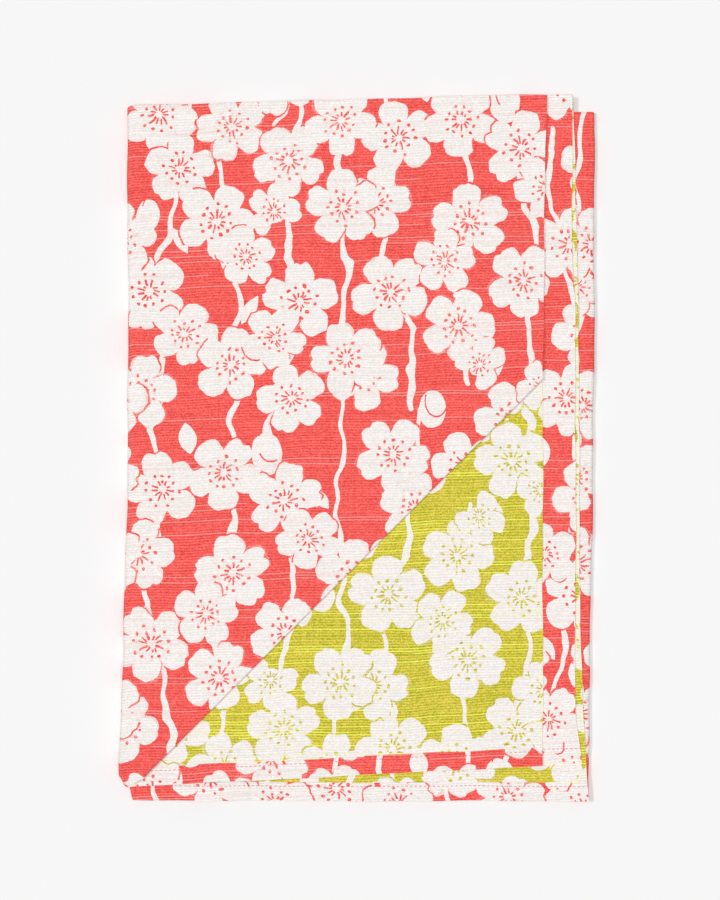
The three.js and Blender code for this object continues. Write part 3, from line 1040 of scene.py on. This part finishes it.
def stitch_tree(material):
    """Geometry nodes that lay one stitch after another along every line of a mesh."""
    tree = bpy.data.node_groups.new("running_stitches", "GeometryNodeTree")
    tree.interface.new_socket("Lines", in_out="INPUT", socket_type="NodeSocketGeometry")
    for label, default in (("Pitch", 0.0025), ("Stitch length", 0.0017), ("Thread", 0.0002)):
        socket = tree.interface.new_socket(label, in_out="INPUT", socket_type="NodeSocketFloat")
        socket.default_value = default
        socket.subtype = "DISTANCE"
    tree.interface.new_socket("Stitches", in_out="OUTPUT", socket_type="NodeSocketGeometry")
    given, result = tree.nodes.new("NodeGroupInput"), tree.nodes.new("NodeGroupOutput")
    curve = add(tree, "GeometryNodeMeshToCurve", given.outputs["Lines"])
    evenly = tree.nodes.new("GeometryNodeResampleCurve")
    evenly.mode = "LENGTH"
    tree.links.new(curve, evenly.inputs["Curve"])
    tree.links.new(given.outputs["Pitch"], evenly.inputs["Length"])
    stitch = tree.nodes.new("GeometryNodeMeshUVSphere")
    stitch.inputs["Segments"].default_value = 8
    stitch.inputs["Rings"].default_value = 5
    stitch.inputs["Radius"].default_value = 1.0
    half = add(tree, MATH, given.outputs["Stitch length"], 0.5, operation="MULTIPLY")
    size = add(tree, COMBINE, half, given.outputs["Thread"], given.outputs["Thread"])
    tangent = tree.nodes.new("GeometryNodeInputTangent").outputs[0]
    facing = tree.nodes.new("FunctionNodeAlignRotationToVector")
    facing.axis = "X"
    tree.links.new(tangent, facing.inputs["Vector"])
    placed = tree.nodes.new("GeometryNodeInstanceOnPoints")
    tree.links.new(evenly.outputs["Curve"], placed.inputs["Points"])
    tree.links.new(stitch.outputs["Mesh"], placed.inputs["Instance"])
    tree.links.new(facing.outputs["Rotation"], placed.inputs["Rotation"])
    tree.links.new(size, placed.inputs["Scale"])
    real = add(tree, "GeometryNodeRealizeInstances", placed.outputs["Instances"])
    coated = tree.nodes.new("GeometryNodeSetMaterial")
    coated.inputs["Material"].default_value = material
    tree.links.new(real, coated.inputs["Geometry"])
    tree.links.new(coated.outputs["Geometry"], result.inputs["Stitches"])
    return tree


# Seams that show, each a panel, a layer (0 is a, 1 is b) and a face (1 outer, -1 inner)
SHOWN_SEAMS = ((0, 1, -1), (3, 0, -1), (3, 1, 1), (1, 0, 1), (2, 0, 1))


def seam_lines(cloth, sizes):
    """The lines that the stitches follow, on the hems that can be seen."""
    vertices, edges = [], []
    for p, layer, face in SHOWN_SEAMS:
        inward = PANELS[p]["side"] * (1, -1)[layer] * face
        before = None
        for station, line in zip(cloth.stations, cloth.lines):
            if station.turn is not None or station.p != p:
                continue
            index = line[SEAM_ROW] if layer == 0 else line[-1 - SEAM_ROW]
            point = np.array((cloth.outer if face > 0 else cloth.inner)[index])
            if PANELS[p]["slots"][layer] > 0:
                point[2] += inward * STITCH_LIFT
            vertices.append(point)
            if before is not None:
                edges.append((before, len(vertices) - 1))
            before = len(vertices) - 1
    return vertices, edges + front_corner_seam(vertices, sizes)


def front_corner_seam(vertices, sizes):
    """The end of the front layer's seam, from the left fold to the crease."""
    rise = (sizes.hem_width - sizes.seam_inset) / MM
    edges = []
    for share in np.linspace(0.0, CORNER_SEAM, CORNER_STEPS):
        station = Station(0, share=share)
        x = float(station.point(0, np.array([CORNER_HEIGHT]), 1, 0.0, 0.0)[0][0])
        y = float(edge_line(HEMS, "first", x)) + rise
        if x > CREASE["x0"] and y < creased_hem(x) + SEAM_END:
            break
        half = sizes.thickness / MM / 2
        vertices.append(station.point(0, np.array([y]), 1, half + STITCH_LIFT, sizes.edge_droop / MM)[0])
        if share:
            edges.append((len(vertices) - 2, len(vertices) - 1))
    return edges


def length_property(label, description, millimetres):
    """A length that is given in millimetres."""
    return bpy.props.FloatProperty(
        name=label, description=description, default=millimetres * MM, unit="LENGTH"
    )


class FuroshikiSizes(bpy.types.PropertyGroup):
    """Sizes of the cloth and its sewing."""

    thickness: length_property("Cloth thickness", "Thickness of the cotton", 0.6)
    hem_width: length_property("Hem width", "Width of the hem folded to the inner face", 10.3)
    hem_relief: length_property("Hem relief", "How far the hem stands above the inner face", 0.3)
    seam_inset: length_property("Seam inset", "From the inner edge of the hem to its stitches", 2.1)
    selvedge_width: length_property("Selvedge width", "Width of the selvedge along the side edges", 1.8)
    edge_droop: length_property("Edge droop", "How far each free edge sinks onto the layer below", 0.3)
    stitch_pitch: length_property("Stitch pitch", "From one stitch to the next", 2.5)
    stitch_length: length_property("Stitch length", "Length of the thread that shows in a stitch", 1.8)


def shade_property(label, description, value):
    """A colour that is given as sRGB hex."""
    return bpy.props.FloatVectorProperty(
        name=label, description=description, subtype="COLOR", default=linear(value)
    )


class FuroshikiColours(bpy.types.PropertyGroup):
    """Colours of the print, the bare cotton and the thread."""

    coral_dark: shade_property(
        "Coral, dark threads", "Ground of the outer face where it is deepest", "DA3D39"
    )
    coral_light: shade_property(
        "Coral, light threads", "Ground of the outer face where it is palest", "FF736C"
    )
    coral_slub: shade_property("Coral, slubs", "Thick threads of the outer face", "F29F99")
    lime_dark: shade_property(
        "Lime, dark threads", "Ground of the inner face where it is deepest", "9FA50C"
    )
    lime_light: shade_property(
        "Lime, light threads", "Ground of the inner face where it is palest", "EED75D"
    )
    lime_slub: shade_property("Lime, slubs", "Thick threads of the inner face", "F6F964")
    bare_dark: shade_property(
        "Bare cotton, dark threads", "Unprinted cotton where it is deepest", "E0D9D4"
    )
    bare_light: shade_property(
        "Bare cotton, light threads", "Unprinted cotton where it is palest", "FAF4F1"
    )
    thread: shade_property("Thread", "Thread of the hems", "E0707C")


class FUROSHIKI_OT_lay_cloth(bpy.types.Operator):
    """Lay the printed cloth on its folds"""

    bl_idname = "furoshiki.lay_cloth"
    bl_label = "Lay the cloth"

    def execute(self, context):
        sizes = context.scene.furoshiki_sizes
        colours = context.scene.furoshiki_colours
        cloth = gather_cloth(sizes)
        piece = build_cloth(cloth)
        width = flat_size(cloth)[0]
        band = sizes.selvedge_width
        bare_edge = BARE_EDGE * band
        edges = ((bare_edge, band), (width - band, width - bare_edge))
        printing, weave = print_group(), weave_group()
        bare = (colours.bare_dark, colours.bare_light)
        for ground, slubs, bands in (("coral", CORAL_SLUBS, ()), ("lime", LIME_SLUBS, edges)):
            shades = [getattr(colours, f"{ground}_{shade}") for shade in ("dark", "light", "slub")]
            cotton = printed_cotton(
                f"{ground}_printed_cotton", printing, weave, (*shades, *bare), slubs, bands
            )
            piece.data.materials.append(cotton)
        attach(piece, "root")
        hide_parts(CLOTH_NODE)
        return {"FINISHED"}


class FUROSHIKI_OT_sew_hems(bpy.types.Operator):
    """Sew the hems of the cloth with running stitches"""

    bl_idname = "furoshiki.sew_hems"
    bl_label = "Sew the hems"

    def execute(self, context):
        sizes = context.scene.furoshiki_sizes
        piece = context.scene.objects.get("printed_cloth")
        if piece is None:
            raise RuntimeError("The cloth is laid before its hems are sewn")
        cloth = gather_cloth(sizes)
        guide = bpy.data.meshes.new("seam_lines")
        vertices, edges = seam_lines(cloth, sizes)
        guide.from_pydata((np.asarray(vertices) * MM).tolist(), edges, [])
        path = in_scene("seam_lines", guide)
        tree = stitch_tree(thread_material(context.scene.furoshiki_colours.thread))
        sewing = path.modifiers.new("Running stitches", "NODES")
        sewing.node_group = tree
        wanted = {"Pitch": sizes.stitch_pitch, "Stitch length": sizes.stitch_length}
        for item in tree.interface.items_tree:
            if item.name in wanted:
                sewing[item.identifier] = wanted[item.name]
        context.view_layer.update()
        evaluated = path.evaluated_get(context.evaluated_depsgraph_get())
        sewn = bpy.data.meshes.new_from_object(evaluated)
        path.modifiers.remove(sewing)
        bpy.data.objects.remove(path)
        if not sewn.polygons:
            raise RuntimeError("No stitches were made along the hems")
        stitches = in_scene("hem_stitches", sewn)
        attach(stitches, "root")
        return {"FINISHED"}


FLOOR_REACH = 60.0  # metres from the middle to each side, so a low view sees no end of it
PICTURE_TALL = 0.5  # metres that the camera sees from top to bottom


class FUROSHIKI_OT_set_stage(bpy.types.Operator):
    """Set the pale floor, the soft light and the camera overhead"""

    bl_idname = "furoshiki.set_stage"
    bl_label = "Set the stage"

    def execute(self, context):
        scene = context.scene
        mesh = bpy.data.meshes.new("floor")
        corners = [(x * FLOOR_REACH, y * FLOOR_REACH, 0) for x, y in ((-1, -1), (1, -1), (1, 1), (-1, 1))]
        mesh.from_pydata(corners, [], [(0, 1, 2, 3)])
        floor = in_scene("floor", mesh)
        # Pale seamless paper, matt, without a highlight
        paper = bpy.data.materials.new("white_paper_backdrop")
        paper.use_nodes = True
        shader = paper.node_tree.nodes["Principled BSDF"]
        shader.inputs["Base Color"].default_value = (*linear("EEEEEE"), 1)
        shader.inputs["Roughness"].default_value = 1.0
        shader.inputs["Specular IOR Level"].default_value = 0.0
        mesh.materials.append(paper)

        world = bpy.data.worlds.new("studio")
        world.use_nodes = True
        world.node_tree.nodes["Background"].inputs["Color"].default_value = (1, 1, 1, 1)
        world.node_tree.nodes["Background"].inputs["Strength"].default_value = 0.3
        scene.world = world

        # A broad light straight above, and a smaller one from the left that draws the shadows
        for name, strength, spread, towards in (
            ("overhead_light", 1.66, 30, (0, 0, 1)),
            ("left_light", 0.95, 8, (-0.58, 0.14, 1)),
        ):
            lamp = bpy.data.lights.new(name, "SUN")
            lamp.energy = strength
            lamp.angle = math.radians(spread)
            light = in_scene(name, lamp)
            light.rotation_euler = Vector(towards).to_track_quat("Z", "Y").to_euler()

        camera_data = bpy.data.cameras.new("overhead")
        camera_data.sensor_fit = "VERTICAL"
        camera_data.sensor_height = 36.0
        camera_data.lens = 100.0
        camera = in_scene("overhead", camera_data)
        height = PICTURE_TALL * camera_data.lens / camera_data.sensor_height
        camera.location = (0.0017, -0.0014, 0.010 + height)
        scene.camera = camera
        scene.view_settings.view_transform = "Standard"
        return {"FINISHED"}


class FUROSHIKI_PT_panel(bpy.types.Panel):
    """Lists the operators"""

    bl_idname = "FUROSHIKI_PT_panel"
    bl_label = "Folded furoshiki"
    bl_space_type = "VIEW_3D"
    bl_region_type = "UI"
    bl_category = "Furoshiki"

    def draw(self, context):
        for operator in (FUROSHIKI_OT_lay_cloth, FUROSHIKI_OT_sew_hems, FUROSHIKI_OT_set_stage):
            self.layout.operator(operator.bl_idname)


CLASSES = (
    FuroshikiSizes,
    FuroshikiColours,
    FUROSHIKI_OT_lay_cloth,
    FUROSHIKI_OT_sew_hems,
    FUROSHIKI_OT_set_stage,
    FUROSHIKI_PT_panel,
)


def register():
    for cls in CLASSES:
        bpy.utils.register_class(cls)
    bpy.types.Scene.furoshiki_sizes = bpy.props.PointerProperty(type=FuroshikiSizes)
    bpy.types.Scene.furoshiki_colours = bpy.props.PointerProperty(type=FuroshikiColours)


def unregister():
    del bpy.types.Scene.furoshiki_colours
    del bpy.types.Scene.furoshiki_sizes
    for cls in reversed(CLASSES):
        bpy.utils.unregister_class(cls)


def main():
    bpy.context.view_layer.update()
    register()
    bpy.ops.furoshiki.lay_cloth()
    bpy.ops.furoshiki.sew_hems()
    bpy.ops.furoshiki.set_stage()


if __name__ == "__main__":
    main()
